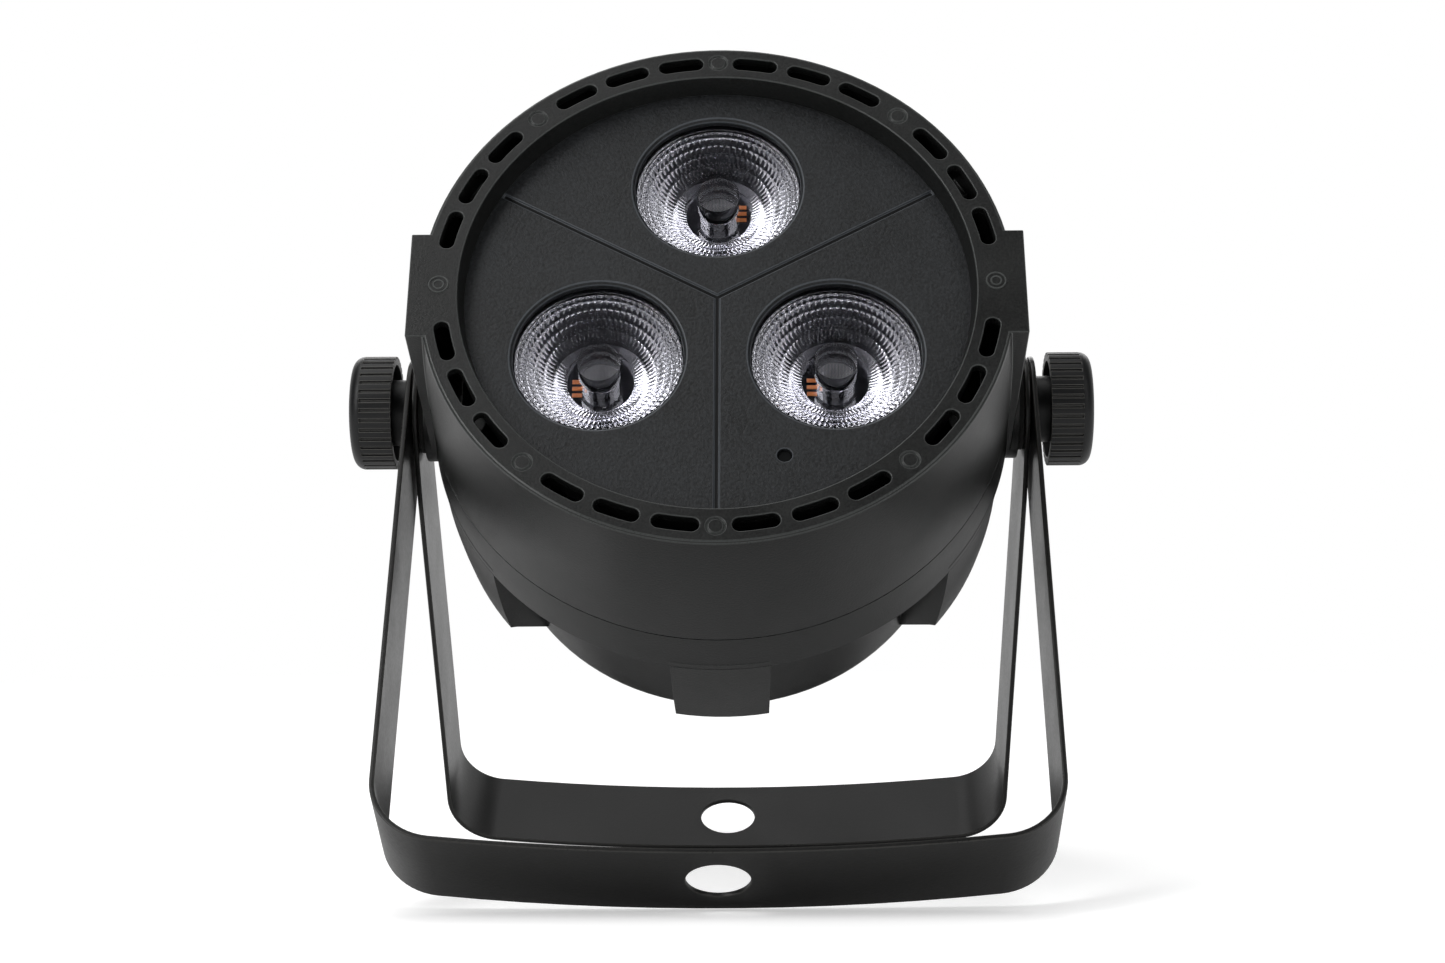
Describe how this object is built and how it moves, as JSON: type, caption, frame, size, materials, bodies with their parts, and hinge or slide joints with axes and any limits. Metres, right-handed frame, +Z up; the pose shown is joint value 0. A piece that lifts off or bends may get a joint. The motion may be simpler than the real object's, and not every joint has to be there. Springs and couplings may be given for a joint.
{
  "type": "LED par can light",
  "caption": "Small round stage light with clear lenses set in a black ring, carried on a pair of folding U-shaped brackets and clamped by ribbed knobs.",
  "frame": {"origin": "centre of the footprint on the floor, under the middle of the whole light", "axes": "+X along the pivot axis to the light's right as seen from the front, front of the light towards -Y, +Z up"},
  "size_m": [0.1998, 0.1802, 0.2208],
  "materials": {
    "housing_plastic": "smooth black ABS moulding, satin",
    "face_plastic": "black ABS with a fine spark-eroded grain",
    "lens_clear": "clear optical acrylic, polished",
    "holder_plastic": "black nylon",
    "emitter": "white ceramic package with a clear dome over coloured chips",
    "circuit_board": "green glass-fibre laminate",
    "emitter_board": "aluminium-backed board under a black solder mask",
    "sink_aluminium": "milled, bare",
    "panel_steel": "sheet steel, black powder coat",
    "smoked_window": "smoked clear acrylic",
    "display_plastic": "dark digit block",
    "button_plastic": "black push buttons",
    "switch_metal": "plated switch cans",
    "socket_plastic": "black socket mouldings",
    "component": "wound and dipped components",
    "bracket_paint": "bent steel strap, satin black powder coat",
    "knob_plastic": "black nylon, ribbed",
    "bolt_steel": "zinc plated",
    "insert_brass": "machined",
    "washer_rubber": "fibre-filled rubber",
    "washer_nylon": "black nylon",
    "screw_black": "blackened pan head screws"
  },
  "bodies": {
    "head": {"capacitors": "component", "control_board": "circuit_board", "display_module": "display_plastic", "display_window": "smoked_window", "dmx_input_socket": "socket_plastic", "dmx_output_socket": "socket_plastic", "face_plate": "face_plastic", "friction_washer_left": "washer_rubber", "friction_washer_right": "washer_rubber", "front_housing": "housing_plastic", "heat_sink": "sink_aluminium", "housing_screws": "screw_black", "ir_receiver": "socket_plastic", "led_board": "emitter_board", "led_left": "emitter", "led_right": "emitter", "led_top": "emitter", "lens_holder_left": "holder_plastic", "lens_holder_right": "holder_plastic", "lens_holder_top": "holder_plastic", "lens_left": "lens_clear", "lens_right": "lens_clear", "lens_top": "lens_clear", "panel_screws": "screw_black", "panel_standoffs": "insert_brass", "pivot_insert_left": "insert_brass", "pivot_insert_right": "insert_brass", "plate_screws": "screw_black", "power_board": "circuit_board", "power_inlet": "socket_plastic", "power_posts": "insert_brass", "rear_housing": "housing_plastic", "rear_panel": "panel_steel", "sink_screws": "screw_black", "tact_switches": "switch_metal", "transformer": "component"},
    "front_bracket": {"front_bracket": "bracket_paint"},
    "rear_bracket": {"rear_bracket": "bracket_paint", "spacer_washer_left": "washer_nylon", "spacer_washer_right": "washer_nylon"},
    "knob_left": {"knob_left": "knob_plastic", "knob_bolt_left": "bolt_steel"},
    "knob_right": {"knob_right": "knob_plastic", "knob_bolt_right": "bolt_steel"},
    "button_1": {"button_1": "button_plastic"},
    "button_2": {"button_2": "button_plastic"},
    "button_3": {"button_3": "button_plastic"},
    "button_4": {"button_4": "button_plastic"}
  },
  "joints": [
    {"name": "front_bracket_swing", "type": "hinge", "parent": "head", "child": "front_bracket", "pos_m": [0, 0.00449, 0.12591], "axis": [1, 0, 0], "continuous": true},
    {"name": "rear_bracket_swing", "type": "hinge", "parent": "head", "child": "rear_bracket", "pos_m": [0, 0.00449, 0.12591], "axis": [1, 0, 0], "continuous": true},
    {"name": "knob_left_turn", "type": "hinge", "parent": "head", "child": "knob_left", "pos_m": [0, 0.00449, 0.12591], "axis": [-1, 0, 0], "continuous": true},
    {"name": "knob_right_turn", "type": "hinge", "parent": "head", "child": "knob_right", "pos_m": [0, 0.00449, 0.12591], "axis": [1, 0, 0], "continuous": true},
    {"name": "button_1_press", "type": "slide", "parent": "head", "child": "button_1", "axis": [0, -0.8746, 0.4848], "range_m": [0, 0.0008], "stiffness_N_per_m": 900, "springref_m": -0.0005},
    {"name": "button_2_press", "type": "slide", "parent": "head", "child": "button_2", "axis": [0, -0.8746, 0.4848], "range_m": [0, 0.0008], "stiffness_N_per_m": 900, "springref_m": -0.0005},
    {"name": "button_3_press", "type": "slide", "parent": "head", "child": "button_3", "axis": [0, -0.8746, 0.4848], "range_m": [0, 0.0008], "stiffness_N_per_m": 900, "springref_m": -0.0005},
    {"name": "button_4_press", "type": "slide", "parent": "head", "child": "button_4", "axis": [0, -0.8746, 0.4848], "range_m": [0, 0.0008], "stiffness_N_per_m": 900, "springref_m": -0.0005}
  ]
}
